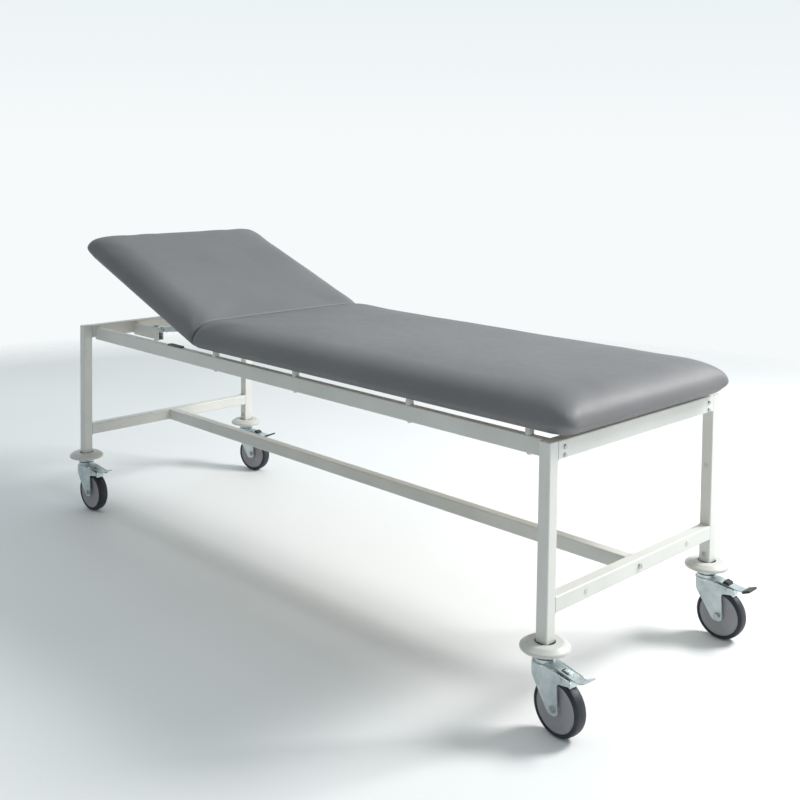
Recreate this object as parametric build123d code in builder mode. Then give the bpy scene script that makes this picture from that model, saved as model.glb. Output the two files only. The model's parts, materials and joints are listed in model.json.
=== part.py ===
"""Stretcher trolley: square-tube frame on four braked swivel casters, two-part pad, raising head section.

Millimetres, +Z up. +X runs from the head end to the foot end and -Y is the near side. The origin is on the
floor under the middle of the whole trolley. The head section is modelled raised, at headrest_angle.
"""
from build123d import *
from math import atan2, cos, degrees, hypot, radians, sin, tan
import os

os.makedirs("parts", exist_ok=True)

# ------------------------------------------------------------------ driving dimensions
# Frame
frame_length = 1960.0  # over the legs
frame_width = 700.0  # over the legs
frame_shift = -35.0  # frame's middle along X, so that the casters' overhang at both ends is equal
leg_size = 30.0
leg_bottom = 186.0  # height of the leg's lower end over the floor
leg_height = 430.0  # with its cap
tube_wall = 2.0
tube_corner = 3.0
cap_thickness = 3.0
cap_plug_depth = 14.0
end_rail_height = 41.0
side_rail_width = 20.0
side_rail_height = 40.0
side_rail_drop = 8.0  # top of the side rail under the top of the leg
side_rail_inset = 22.0  # leg's inner face to the middle of the side rail
stretcher_height = 35.0
stretcher_width = 30.0
stretcher_drop = 352.0  # top of the leg to the middle of the stretchers
end_plate = 5.0

# Fasteners
fit_gap = 0.2  # all round a piece that slips into a tube
screw_size = 6.0
bolt_size = 8.0
rail_screw_head = (11.0, 3.0)  # size and height
stretcher_bolt_head = (15.0, 4.0)
socket_bolt_head = (12.0, 3.5)
screw_flats = 10.0
nut_flats = 13.0
bolt_head_height = 5.3
nut_height = 6.5
pin_rim = 3.0  # pin's heads, over the size of the pin
pin_head = 1.5
thread_gap = 0.05  # round a shank in its thread
hole_gap = 0.25  # round a shank in a clearance hole
rail_screw_inset = 8.0  # side rail's top to the upper screw
rail_screw_pitch = 18.0
end_block_length = 40.0
socket_bolt_height = 20.0  # over the leg's lower end
leg_plug_height = 248.0  # over the leg's lower end
stretcher_plug_offset = 210.0  # from the middle of the foot stretcher
plug_size = 9.0
plug_rim = 3.0  # plug's flange, over the size of its hole
plug_flange = 1.2

# Pads and boards
pad_width = 700.0
pad_thickness = 80.0  # with its board
pad_rise = 13.0  # top of the leg to the underside of the boards
foot_overhang = 45.0  # main pad past the foot end of the frame
head_pad_length = 680.0  # hinge axis to the head end of the head pad
outer_corner = 45.0
hinge_corner = 25.0
pad_edge = 30.0
board_thickness = 12.0
board_inset = 30.0  # pad's side to the board's edge
board_corner = 14.0
board_gap = 12.0  # hinge axis to the end of each board
pad_gap = 1.0  # hinge axis to the end of each pad, at the height of the axis
pocket_gap = 0.3  # board in the pad

# Head section
hinge_from_head = 640.0
hinge_drop = 6.0  # underside of the boards to the hinge axis
headrest_angle = 20.4  # as modelled
headrest_top = 20.6  # further up from the modelled angle
hinge_offset = 200.0  # middle of the trolley to each hinge
hinge_leaf_length = 60.0
hinge_leaf_reach = 46.0
hinge_leaf_start = 6.0
hinge_leaf_thickness = 2.0
knuckle_size = 9.0
knuckle_length = 18.0
knuckle_gap = 0.4
pin_size = 5.0

# Ratchet struts
strut_offset = 150.0  # middle of the trolley to each strut
strut_tube_end = 182.0  # from the head end of the frame
strut_bolt_from_head = 154.0
lower_pivot_from_head = 198.0
lower_pivot_drop = 10.0  # under the top of the leg
upper_pivot_reach = 110.0  # hinge axis to the pivot, along the head section
upper_pivot_drop = 9.0  # under the level of the hinge axis
strut_pin = 6.0
channel_width = 14.0
channel_height = 16.0
channel_wall = 3.0
channel_web = 2.0
channel_length = 215.0
rod_height = 10.0
rod_length = 290.0
rod_lift = 0.5
rod_gap = 0.3
notch_count = 12
notch_pitch = 12.0
notch_depth = 3.0
bracket_wall = 3.0
bracket_length = 46.0
ear_gap = 0.3

# Pad supports
spacer_size = 20.0
spacer_places = (705.0, 1070.0, 1500.0, 1865.0)  # from the head end of the frame
buffer_place = 495.0
buffer_length = 70.0
buffer_height = 4.0
bolt_bite = 9.0  # pad bolt in its board

# Casters
wheel_size = 125.0
tyre_width = 31.0
tyre_depth = 10.5  # tread to the hub's rim
tyre_crown = 62.0  # radius across the tread
hub_disc = 28.0
hub_boss = 24.0
hub_width = 39.8
trail = 43.0  # stem axis to axle
running_gap = 0.05
fork_inside = 40.6
fork_wall = 2.7
fork_top = 146.0  # height of the fork's top over the floor
fork_plate = 3.0
fork_dish = 54.0
fork_front = 17.0  # stem axis to the front edge of the cheeks
fork_shoulder = 26.0  # stem axis to where the cheeks' tops start to slope down
fork_rear = 90.0  # stem axis to the rear corner of the cheeks
fork_rear_drop = 10.5  # that corner under the fork's top
fork_rear_height = 9.0
fork_throat = 52.5  # stem axis to the inner corner behind the cheeks
fork_throat_drop = 25.5
fork_tip = 11.0  # radius of the cheeks' lower ends
race_size = 50.0
lower_race_top = 154.5
upper_race_bottom = 156.0
upper_race_top = 165.0
ball_size = 5.6
ball_count = 14
ball_circle = 34.0
king_pin = 14.0
stem_sleeve = 22.0
stem_thread = 12.0
stem_reach = 38.0  # up into the leg
socket_height = 45.0
bumper_size = 109.0
bumper_thickness = 22.0  # with the boss under it
bumper_boss = 46.0
bumper_boss_height = 5.5
bumper_gap = 0.5
bumper_recess = 45.0
recess_depth = 3.5
bumper_rim = 14.0  # sloping part of the disc, in from its edge
pedal_width = 28.0
pedal_thickness = 2.5
pedal_lift = 0.8  # underside of the pedal over the cheeks
pedal_front = 34.0  # stem axis to the pedal's front edge
pedal_bend = 104.0  # stem axis to where the pedal turns up
pedal_tip = 109.0  # stem axis to where the pedal widens
pedal_tip_width = 36.0
pedal_end = 122.0
pedal_rise = 8.0
pedal_pin_at = (62.0, 133.0)  # from the stem axis along the trail, and over the floor
ear_wall = 3.0
shoe_gap = 2.5
shoe_thickness = 5.0
shoe_from, shoe_to = 56.0, 68.0  # degrees round the axle
caster_turn = {"head_near": 4.0, "head_far": 12.5, "foot_near": -4.0, "foot_far": 1.5}

# ------------------------------------------------------------------ derived places
head_end = frame_shift - frame_length / 2
foot_end = frame_shift + frame_length / 2
leg_top = leg_bottom + leg_height
tube_top = leg_top - cap_thickness
leg_middle_y = (frame_width - leg_size) / 2
rail_y = frame_width / 2 - leg_size - side_rail_inset
side_rail_top = leg_top - side_rail_drop
side_rail_middle = side_rail_top - side_rail_height / 2
rail_screw_heights = (side_rail_top - rail_screw_inset, side_rail_top - rail_screw_inset - rail_screw_pitch)
stretcher_z = leg_top - stretcher_drop
board_bottom = leg_top + pad_rise
hinge_x = head_end + hinge_from_head
hinge_z = board_bottom - hinge_drop
wheel_radius = wheel_size / 2
hub_size = wheel_size - 2 * tyre_depth
inner_span = frame_width - 2 * leg_size
ends = {"head": -1, "foot": 1}
sides = {"near": -1, "far": 1}


def write(piece, name):
    """Label a finished piece and write its STEP file."""
    piece.part.label = name
    export_step(piece.part, f"parts/{name}.step")


def corner(end, side):
    """Middle of the leg at one corner, as X and Y."""
    x = frame_shift + ends[end] * (frame_length - leg_size) / 2
    return x, sides[side] * leg_middle_y


def across(x, y, z):
    """Plane that looks along +X, with Y to the right and Z up."""
    return Plane(origin=(x, y, z), x_dir=(0, 1, 0), z_dir=(1, 0, 0))


def along(x, y, z):
    """Plane that looks along -Y, with X to the right and Z up."""
    return Plane(origin=(x, y, z), x_dir=(1, 0, 0), z_dir=(0, -1, 0))


def tube(plane, wide, high, length):
    """Add a rectangular tube that starts on a plane and runs along its normal."""
    with BuildSketch(plane) as section:
        RectangleRounded(wide, high, tube_corner)
        RectangleRounded(wide - 2 * tube_wall, high - 2 * tube_wall, tube_corner - tube_wall,
                         mode=Mode.SUBTRACT)
    extrude(section.sketch, amount=length)


def drill(plane, size, depth, both=False):
    """Cut a round hole along a plane's normal."""
    with BuildSketch(plane) as hole:
        Circle(size / 2)
    extrude(hole.sketch, amount=depth, both=both, mode=Mode.SUBTRACT)


def rod(plane, size, length):
    """Add a round bar that starts on a plane and runs along its normal."""
    with BuildSketch(plane) as section:
        Circle(size / 2)
    extrude(section.sketch, amount=length)


# ------------------------------------------------------------------ frame
def build_leg(end, side):
    x, y = corner(end, side)
    inboard = y - sides[side] * leg_size / 2
    with BuildPart() as leg:
        tube(Plane(origin=(x, y, leg_bottom)), leg_size, leg_size, tube_top - leg_bottom)
        drill(along(x, inboard, leg_bottom + socket_bolt_height), screw_size + 2 * hole_gap,
              tube_wall + 1, both=True)
        drill(along(x, inboard, leg_bottom + leg_plug_height), plug_size, tube_wall + 1, both=True)
    write(leg, f"leg_{end}_{side}")


def build_end_rail(end):
    outer = head_end if end == "head" else foot_end
    start = outer if end == "head" else outer - leg_size
    with BuildPart() as rail:
        middle = across(start + leg_size / 2, -inner_span / 2, leg_top - end_rail_height / 2)
        tube(Plane(origin=middle.origin, x_dir=(1, 0, 0), z_dir=(0, 1, 0)), leg_size, end_rail_height,
             inner_span)
        for side in sides.values():
            for z in rail_screw_heights:
                drill(across(start - 1, side * rail_y, z), screw_size + 2 * hole_gap, leg_size + 2)
    write(rail, f"{end}_rail")


def build_side_rail(side):
    y = sides[side] * rail_y
    with BuildPart() as rail:
        tube(across(head_end + leg_size, y, side_rail_middle), side_rail_width, side_rail_height,
             frame_length - 2 * leg_size)
        for place in spacer_places:
            hole = Plane.XY.offset(side_rail_middle).move(Location((head_end + place, y, 0)))
            drill(hole, screw_size + 2 * hole_gap, side_rail_height, both=True)
    write(rail, f"side_rail_{side}")


def build_end_stretcher(end):
    x = corner(end, "near")[0]
    outer = x + ends[end] * stretcher_width / 2
    with BuildPart() as stretcher:
        tube(Plane(origin=(x, -inner_span / 2, stretcher_z), x_dir=(1, 0, 0), z_dir=(0, 1, 0)),
             stretcher_width, stretcher_height, inner_span)
        drill(across(x, 0, stretcher_z), bolt_size + 2 * hole_gap, stretcher_width, both=True)
        if end == "foot":
            for y in (-stretcher_plug_offset, stretcher_plug_offset):
                drill(across(outer, y, stretcher_z), plug_size, tube_wall + 1, both=True)
    write(stretcher, f"{end}_stretcher")


def build_long_stretcher():
    start = corner("head", "near")[0] + stretcher_width / 2
    length = frame_length - leg_size - stretcher_width
    with BuildPart() as stretcher:
        tube(across(start, 0, stretcher_z), stretcher_width, stretcher_height, length)
        for x in (start, start + length - end_plate):
            with BuildSketch(across(x, 0, stretcher_z)):
                RectangleRounded(stretcher_width - tube_wall, stretcher_height - tube_wall, tube_corner)
            extrude(amount=end_plate)
            drill(across(x - 1, 0, stretcher_z), bolt_size + 2 * thread_gap, end_plate + 2)
    write(stretcher, "long_stretcher")


def build_plugs():
    """Plastic caps in the tops of the legs, and plugs in the unused holes."""
    with BuildPart() as plugs:
        for end in ends:
            for side in sides:
                x, y = corner(end, side)
                place = Location((x, y, 0))
                with BuildSketch(Plane.XY.offset(tube_top).move(place)):
                    RectangleRounded(leg_size, leg_size, tube_corner)
                extrude(amount=cap_thickness)
                plug = leg_size - 2 * tube_wall - 2 * fit_gap
                with BuildSketch(Plane.XY.offset(tube_top - cap_plug_depth).move(place)):
                    RectangleRounded(plug, plug, tube_corner - tube_wall)
                extrude(amount=cap_plug_depth)
                inboard = y - sides[side] * leg_size / 2
                face = Plane(origin=(x, inboard, leg_bottom + leg_plug_height), x_dir=(1, 0, 0),
                             z_dir=(0, -sides[side], 0))
                rod(face, plug_size + plug_rim, plug_flange)
                rod(face.offset(-tube_wall - 1), plug_size - 2 * fit_gap, tube_wall + 1)
        face_x = corner("foot", "near")[0] + stretcher_width / 2
        for y in (-stretcher_plug_offset, stretcher_plug_offset):
            rod(across(face_x, y, stretcher_z), plug_size + plug_rim, plug_flange)
            rod(across(face_x - tube_wall - 1, y, stretcher_z), plug_size - 2 * fit_gap, tube_wall + 1)
    write(plugs, "plastic_plugs")


def build_rail_end_blocks():
    """Threaded steel blocks inside the ends of the side rails."""
    wide = side_rail_width - 2 * tube_wall - 2 * fit_gap
    high = side_rail_height - 2 * tube_wall - 2 * fit_gap
    with BuildPart() as blocks:
        for x in (head_end + leg_size, foot_end - leg_size - end_block_length):
            for side in sides.values():
                with BuildSketch(across(x, side * rail_y, side_rail_middle)):
                    RectangleRounded(wide, high, tube_corner - tube_wall)
                extrude(amount=end_block_length)
                for z in rail_screw_heights:
                    drill(across(x - 1, side * rail_y, z), screw_size + 2 * thread_gap,
                          end_block_length + 2)
    write(blocks, "rail_end_blocks")


def screw(face, size, head_form, length):
    """Add a pan-head screw: the head stands on the face and the shank goes in against the normal."""
    head, head_height = head_form
    with BuildSketch(face) as underside:
        Circle(head / 2)
    extrude(underside.sketch, amount=head_height, taper=20)
    rod(face.offset(-length), size, length)
    with BuildSketch(face.offset(head_height - 1)) as cross:
        Rectangle(head * 0.6, 1)
        Rectangle(1, head * 0.6)
    extrude(cross.sketch, amount=2, mode=Mode.SUBTRACT)


def build_rail_screws():
    """Screws through the end rails into the side rails."""
    with BuildPart() as screws:
        for x, way in ((head_end, -1), (foot_end, 1)):
            for side in sides.values():
                for z in rail_screw_heights:
                    face = Plane(origin=(x, side * rail_y, z), x_dir=(0, way, 0), z_dir=(way, 0, 0))
                    screw(face, screw_size, rail_screw_head, leg_size + end_block_length / 2)
    write(screws, "rail_screws")


def build_frame_bolts():
    """Bolts at the ends of the long stretcher, and those that hold the caster sockets in the legs."""
    with BuildPart() as bolts:
        for end, way in ends.items():
            x = corner(end, "near")[0] + way * stretcher_width / 2
            face = Plane(origin=(x, 0, stretcher_z), x_dir=(0, way, 0), z_dir=(way, 0, 0))
            screw(face, bolt_size, stretcher_bolt_head, stretcher_width + end_plate)
            for side, out in sides.items():
                leg_x, leg_y = corner(end, side)
                z = leg_bottom + socket_bolt_height
                face = Plane(origin=(leg_x, leg_y - out * leg_size / 2, z), x_dir=(1, 0, 0),
                             z_dir=(0, -out, 0))
                screw(face, screw_size, socket_bolt_head, (leg_size - stem_thread) / 2 - 2)
    write(bolts, "frame_bolts")


# ------------------------------------------------------------------ pad supports
def build_pad_spacers():
    with BuildPart() as spacers:
        for place in spacer_places:
            for side in sides.values():
                at = Plane.XY.offset(side_rail_top).move(Location((head_end + place, side * rail_y, 0)))
                rod(at, spacer_size, board_bottom - side_rail_top)
                drill(at, screw_size + 2 * hole_gap, board_bottom - side_rail_top)
    write(spacers, "pad_spacers")


def build_pad_bolts():
    """Bolts from under the side rails, through the spacers, into the main board."""
    under = side_rail_top - side_rail_height
    with BuildPart() as bolts:
        for place in spacer_places:
            for side in sides.values():
                face = Plane(origin=(head_end + place, side * rail_y, under), x_dir=(1, 0, 0),
                             z_dir=(0, 0, -1))
                with BuildSketch(face):
                    RegularPolygon(screw_flats / 2, 6, major_radius=False)
                extrude(amount=4)
                length = board_bottom + bolt_bite - under
                rod(face.offset(-length), screw_size, length)
    write(bolts, "pad_bolts")


def build_rest_buffers():
    """Thin rubber strips on the side rails, under the head section."""
    with BuildPart() as buffers:
        for side in sides.values():
            at = Location((head_end + buffer_place, side * rail_y, 0))
            with BuildSketch(Plane.XY.offset(side_rail_top).move(at)):
                RectangleRounded(buffer_length, side_rail_width - 2, 4)
            extrude(amount=buffer_height)
    write(buffers, "rest_buffers")


# ------------------------------------------------------------------ pads and boards
headrest = Plane(origin=(hinge_x, 0, hinge_z),
                 x_dir=(cos(radians(headrest_angle)), 0, -sin(radians(headrest_angle))),
                 z_dir=(sin(radians(headrest_angle)), 0, cos(radians(headrest_angle))))
bed = Plane(origin=(hinge_x, 0, hinge_z))
half_fold = radians((headrest_top + headrest_angle) / 2)


def slab(plane, way, near_end, far_end, wide, near_corner, far_corner, low, high, mode=Mode.ADD):
    """Add or cut a slab with round corners, which runs from near_end to far_end of the hinge axis."""
    middle = way * (near_end + far_end) / 2
    with BuildSketch(plane.offset(low)) as outline:
        with Locations((middle, 0)):
            Rectangle(far_end - near_end, wide)
        hinge_side = outline.vertices().sort_by(Axis.X, reverse=way < 0)[:2]
        fillet(hinge_side, near_corner)
        outer_side = outline.vertices().sort_by(Axis.X, reverse=way > 0)[:2]
        fillet(outer_side, far_corner)
    extrude(outline.sketch, amount=high - low, mode=mode)


def build_board(plane, way, far_end, name):
    with BuildPart() as board:
        slab(plane, way, board_gap, far_end - board_inset, pad_width - 2 * board_inset,
             board_corner, board_corner, hinge_drop, hinge_drop + board_thickness)
        if name == "main_board":
            for place in spacer_places:
                for side in sides.values():
                    at = Location((head_end + place, side * rail_y, 0))
                    drill(Plane.XY.offset(board_bottom).move(at), screw_size + 2 * thread_gap, bolt_bite)
    write(board, name)


def build_pad(plane, way, far_end, name):
    """Pad over its board: its hinge end slants back, to leave room for the head section to rise."""
    top = hinge_drop + pad_thickness
    cut_top = top + pad_edge
    cut_reach = pad_gap + cut_top * tan(half_fold)
    up = Axis(plane.origin, plane.z_dir)
    with BuildPart() as pad:
        slab(plane, way, pad_gap, far_end, pad_width, hinge_corner, outer_corner, hinge_drop, top)
        fillet(pad.faces().sort_by(up)[-1].edges(), pad_edge)
        profile = Plane(origin=plane.origin, x_dir=plane.x_dir, z_dir=(0, -1, 0))
        with BuildSketch(profile):
            with BuildLine():
                Polyline((0, -1), (way * pad_gap, 0), (way * cut_reach, cut_top), (0, cut_top), close=True)
            make_face()
        extrude(amount=pad_width, both=True, mode=Mode.SUBTRACT)
        slab_gap = board_inset - pocket_gap
        slab(plane, way, board_gap - pocket_gap, far_end - slab_gap, pad_width - 2 * slab_gap,
             board_corner + pocket_gap, board_corner + pocket_gap, hinge_drop,
             hinge_drop + board_thickness + pocket_gap, mode=Mode.SUBTRACT)
    write(pad, name)


# ------------------------------------------------------------------ hinges
def build_hinge_leaves(plane, way, name):
    """Leaves under one board, with the knuckles that this board carries."""
    own = (-1, 1) if way > 0 else (0,)
    level = hinge_drop - hinge_leaf_thickness
    pitch = knuckle_length + knuckle_gap
    with BuildPart() as leaves:
        for side in sides.values():
            y = side * hinge_offset
            middle = way * (hinge_leaf_start + hinge_leaf_reach) / 2
            with BuildSketch(plane.offset(level)):
                with Locations((middle, y)):
                    RectangleRounded(hinge_leaf_reach - hinge_leaf_start, hinge_leaf_length, 1.5)
            extrude(amount=hinge_leaf_thickness)
            for place in own:
                start = y + place * pitch + knuckle_length / 2
                side_on = Plane(origin=plane.from_local_coords((0, start, 0)), x_dir=plane.x_dir,
                                z_dir=(0, -1, 0))
                with BuildSketch(side_on):
                    Circle(knuckle_size / 2)
                    with BuildLine():
                        Polyline((0, 0), (way * (hinge_leaf_start + 2), level),
                                 (way * (hinge_leaf_start + 2), hinge_drop),
                                 (way * (hinge_leaf_start - 2), hinge_drop),
                                 (0, knuckle_size / 2), close=True)
                    make_face()
                    Circle(pin_size / 2 + running_gap, mode=Mode.SUBTRACT)
                extrude(amount=knuckle_length)
    write(leaves, name)


# ------------------------------------------------------------------ ratchet struts
lower_pivot = Vector(head_end + lower_pivot_from_head, 0, leg_top - lower_pivot_drop)
upper_pivot = headrest.from_local_coords(Vector(-upper_pivot_reach, 0, -upper_pivot_drop))
strut_run = upper_pivot - lower_pivot
strut_angle = degrees(atan2(strut_run.Z, strut_run.X))
strut_length = hypot(strut_run.X, strut_run.Z)


def strut_plane(y):
    """Side-on plane of one strut: its origin is the lower pivot and its X runs to the upper pivot."""
    start = Vector(lower_pivot.X, y, lower_pivot.Z)
    return Plane(origin=start, x_dir=(strut_run.X, 0, strut_run.Z), z_dir=(0, -1, 0))


def build_strut_tubes():
    """Short tubes on the head rail that carry the struts' lower ends."""
    with BuildPart() as tubes:
        for side in sides.values():
            tube(across(head_end + leg_size, side * strut_offset, side_rail_middle), side_rail_width,
                 side_rail_height, strut_tube_end - leg_size)
            at = Location((head_end + strut_bolt_from_head, side * strut_offset, 0))
            drill(Plane.XY.offset(side_rail_middle).move(at), bolt_size + 2 * hole_gap,
                  side_rail_height, both=True)
    write(tubes, "strut_tubes")


def build_lower_brackets():
    """Clevises bolted on the strut tubes, which hold the struts' lower pivots."""
    outside = channel_width + 2 * (ear_gap + bracket_wall)
    base_start = head_end + strut_tube_end - bracket_length
    ear_start = head_end + strut_tube_end + 1
    ear_end = lower_pivot.X + 10
    base = side_rail_top + bracket_wall
    with BuildPart() as brackets:
        for side in sides.values():
            y = side * strut_offset
            with BuildSketch(Plane.XY.offset(side_rail_top)):
                with Locations(((base_start + ear_end) / 2, y)):
                    RectangleRounded(ear_end - base_start, outside, 2)
            extrude(amount=bracket_wall)
            with BuildSketch(along((ear_start + ear_end) / 2, y, (base + lower_pivot.Z - 10) / 2)):
                RectangleRounded(ear_end - ear_start, base - lower_pivot.Z + 10, 2.5)
            extrude(amount=outside / 2, both=True)
            with BuildSketch(along((ear_start + ear_end) / 2, y, lower_pivot.Z)):
                Rectangle(ear_end - ear_start + 2, 60)
            extrude(amount=channel_width / 2 + ear_gap, both=True, mode=Mode.SUBTRACT)
            drill(along(lower_pivot.X, y, lower_pivot.Z), strut_pin + 2 * running_gap, outside, both=True)
            at = Location((head_end + strut_bolt_from_head, y, 0))
            drill(Plane.XY.offset(side_rail_top).move(at), bolt_size + 2 * hole_gap, bracket_wall)
    write(brackets, "lower_brackets")


def build_strut_bolts():
    """Vertical bolts with nuts that hold the brackets, and the struts' lower pivot pins."""
    outside = channel_width + 2 * (ear_gap + bracket_wall)
    base = side_rail_top + bracket_wall
    under = side_rail_top - side_rail_height
    with BuildPart() as bolts:
        for side in sides.values():
            y = side * strut_offset
            at = Location((head_end + strut_bolt_from_head, y, 0))
            with BuildSketch(Plane.XY.offset(base).move(at)):
                RegularPolygon(nut_flats / 2, 6, major_radius=False)
            extrude(amount=bolt_head_height)
            rod(Plane.XY.offset(under - 10).move(at), bolt_size, base - under + 10)
            with BuildSketch(Plane.XY.offset(under - nut_height).move(at)):
                RegularPolygon(nut_flats / 2, 6, major_radius=False)
            extrude(amount=nut_height)
            pin = along(lower_pivot.X, y, lower_pivot.Z)
            rod(pin.offset(-outside / 2 - 1), strut_pin, outside + 2)
            rod(pin.offset(outside / 2), strut_pin + pin_rim, pin_head)
            rod(pin.offset(-outside / 2 - pin_head), strut_pin + pin_rim, pin_head)
    write(bolts, "strut_bolts")


def build_strut_channels():
    """Lower halves of the struts: channels that are open underneath."""
    half = channel_height / 2
    with BuildPart() as channels:
        for side in sides.values():
            plane = strut_plane(side * strut_offset)
            with BuildSketch(plane):
                with Locations((channel_length / 2 - half, 0)):
                    RectangleRounded(channel_length, channel_height, half - 0.5)
            extrude(amount=channel_width / 2, both=True)
            with BuildSketch(plane):
                with Locations((channel_length / 2, -channel_web)):
                    Rectangle(channel_length + 60, channel_height)
            extrude(amount=channel_width / 2 - channel_wall, both=True, mode=Mode.SUBTRACT)
            drill(plane, strut_pin + 2 * running_gap, channel_width, both=True)
    write(channels, "strut_channels")


def build_strut_rods():
    """Upper halves of the struts: notched bars that slide in the channels."""
    wide = channel_width / 2 - channel_wall - rod_gap
    with BuildPart() as rods:
        for side in sides.values():
            plane = strut_plane(side * strut_offset)
            with BuildSketch(plane):
                with Locations((strut_length + rod_height / 2 - rod_length / 2, rod_lift)):
                    RectangleRounded(rod_length, rod_height, 3)
                for number in range(notch_count):
                    x = strut_length - rod_length + 20 + number * notch_pitch
                    with Locations((x, rod_lift - rod_height / 2)):
                        Circle(notch_depth, mode=Mode.SUBTRACT)
            extrude(amount=wide, both=True)
            far_end = Plane(origin=plane.from_local_coords((strut_length, 0, 0)), x_dir=plane.x_dir,
                            z_dir=plane.z_dir)
            drill(far_end, strut_pin + 2 * running_gap, channel_width, both=True)
    write(rods, "strut_rods")


def build_upper_brackets():
    """Brackets under the head board, which hold the struts' upper pivots."""
    inside = channel_width - 2 * channel_wall
    outside = inside + 2 * bracket_wall
    ear = strut_pin / 2 + 4
    with BuildPart() as brackets:
        for side in sides.values():
            y = side * strut_offset
            with BuildSketch(headrest.offset(hinge_drop - bracket_wall)):
                with Locations((-upper_pivot_reach, y)):
                    RectangleRounded(bracket_length, 2 * bracket_length / 3 + outside, 4)
            extrude(amount=bracket_wall)
            pivot = headrest.from_local_coords((-upper_pivot_reach, y, -upper_pivot_drop))
            side_on = Plane(origin=pivot, x_dir=headrest.x_dir, z_dir=(0, -1, 0))
            with BuildSketch(side_on):
                Circle(ear)
                with Locations((0, (upper_pivot_drop + hinge_drop) / 2 - 1)):
                    Rectangle(2 * ear, upper_pivot_drop + hinge_drop - 2)
            extrude(amount=outside / 2, both=True)
            with BuildSketch(side_on):
                with Locations((0, -1)):
                    Rectangle(4 * ear, 2 * (upper_pivot_drop + hinge_drop - bracket_wall))
            extrude(amount=inside / 2, both=True, mode=Mode.SUBTRACT)
            drill(side_on, strut_pin + 2 * running_gap, outside, both=True)
    write(brackets, "upper_brackets")


def build_headrest_pins():
    """Hinge pins, and the struts' upper pivot pins."""
    length = 3 * knuckle_length + 2 * knuckle_gap
    outside = channel_width - 2 * channel_wall + 2 * bracket_wall
    with BuildPart() as pins:
        for side in sides.values():
            rod(along(hinge_x, side * hinge_offset, hinge_z).offset(-length / 2), pin_size, length)
            pivot = headrest.from_local_coords((-upper_pivot_reach, side * strut_offset, -upper_pivot_drop))
            pin = along(pivot.X, pivot.Y, pivot.Z)
            rod(pin.offset(-outside / 2 - 1), strut_pin, outside + 2)
            rod(pin.offset(outside / 2), strut_pin + pin_rim, pin_head)
            rod(pin.offset(-outside / 2 - pin_head), strut_pin + pin_rim, pin_head)
    write(pins, "headrest_pins")


# ------------------------------------------------------------------ casters
def stem_plane(end, side):
    """Plane on the floor under one leg, whose X points the way the caster trails."""
    x, y = corner(end, side)
    turn = radians(caster_turn[f"{end}_{side}"])
    return Plane(origin=(x, y, 0), x_dir=(cos(turn), sin(turn), 0), z_dir=(0, 0, 1))


def side_view(stem):
    """Upright plane through a caster's stem, with X along the trail and Y up."""
    return Plane(origin=stem.origin, x_dir=stem.x_dir, z_dir=-stem.y_dir)


def axle_plane(stem):
    """Plane through the axle, for profiles that turn about it: X along the axle, Y up."""
    return Plane(origin=stem.from_local_coords((trail, 0, wheel_radius)), x_dir=stem.y_dir, z_dir=stem.x_dir)


def ring_groove(stem):
    """Cut the ball track that the two races share."""
    with BuildSketch(side_view(stem)) as track:
        with Locations((ball_circle / 2, (lower_race_top + upper_race_bottom) / 2)):
            Circle(ball_size / 2 + running_gap)
    revolve(track.sketch, axis=Axis(stem.origin, (0, 0, 1)), mode=Mode.SUBTRACT)


def build_caster_sockets():
    """Square sockets in the lower ends of the legs, threaded for the casters' stems."""
    size = leg_size - 2 * tube_wall - 2 * fit_gap
    with BuildPart() as sockets:
        for end in ends:
            for side, out in sides.items():
                stem = Plane(origin=(*corner(end, side), 0))
                with BuildSketch(stem.offset(leg_bottom)):
                    RectangleRounded(size, size, tube_corner - tube_wall)
                extrude(amount=socket_height)
                drill(stem.offset(leg_bottom), stem_thread + 2 * thread_gap, stem_reach + 1)
                bolt = along(stem.origin.X, stem.origin.Y, leg_bottom + socket_bolt_height)
                drill(bolt.offset(out * (stem_thread / 2 + 1)), screw_size + 2 * thread_gap, out * size)
    write(sockets, "caster_sockets")


def build_caster_stems():
    """Stems in the legs, each with its upper race and the king pin that the fork turns on."""
    with BuildPart() as stems:
        for end in ends:
            for side in sides:
                stem = stem_plane(end, side)
                pin_end = fork_top - fork_plate - running_gap
                rod(stem.offset(leg_bottom), stem_thread, stem_reach)
                rod(stem.offset(upper_race_top), stem_sleeve, leg_bottom - upper_race_top)
                with BuildSketch(side_view(stem)):
                    with BuildLine():
                        FilletPolyline((0, upper_race_bottom), (race_size / 2, upper_race_bottom),
                                       (race_size / 2, upper_race_top), (0, upper_race_top),
                                       radius=[0, 4, 3, 0], close=True)
                    make_face()
                revolve(axis=Axis(stem.origin, (0, 0, 1)))
                rod(stem.offset(pin_end), king_pin, upper_race_bottom - pin_end)
                rod(stem.offset(pin_end - 4), king_pin + 7, 4)
                ring_groove(stem)
    write(stems, "caster_stems")


def build_swivel_balls():
    """Bearing balls between the races of each caster."""
    with BuildPart() as balls:
        for end in ends:
            for side in sides:
                x, y = corner(end, side)
                with Locations((x, y, (lower_race_top + upper_race_bottom) / 2)):
                    with PolarLocations(ball_circle / 2, ball_count):
                        Sphere(ball_size / 2)
    write(balls, "swivel_balls")


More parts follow.
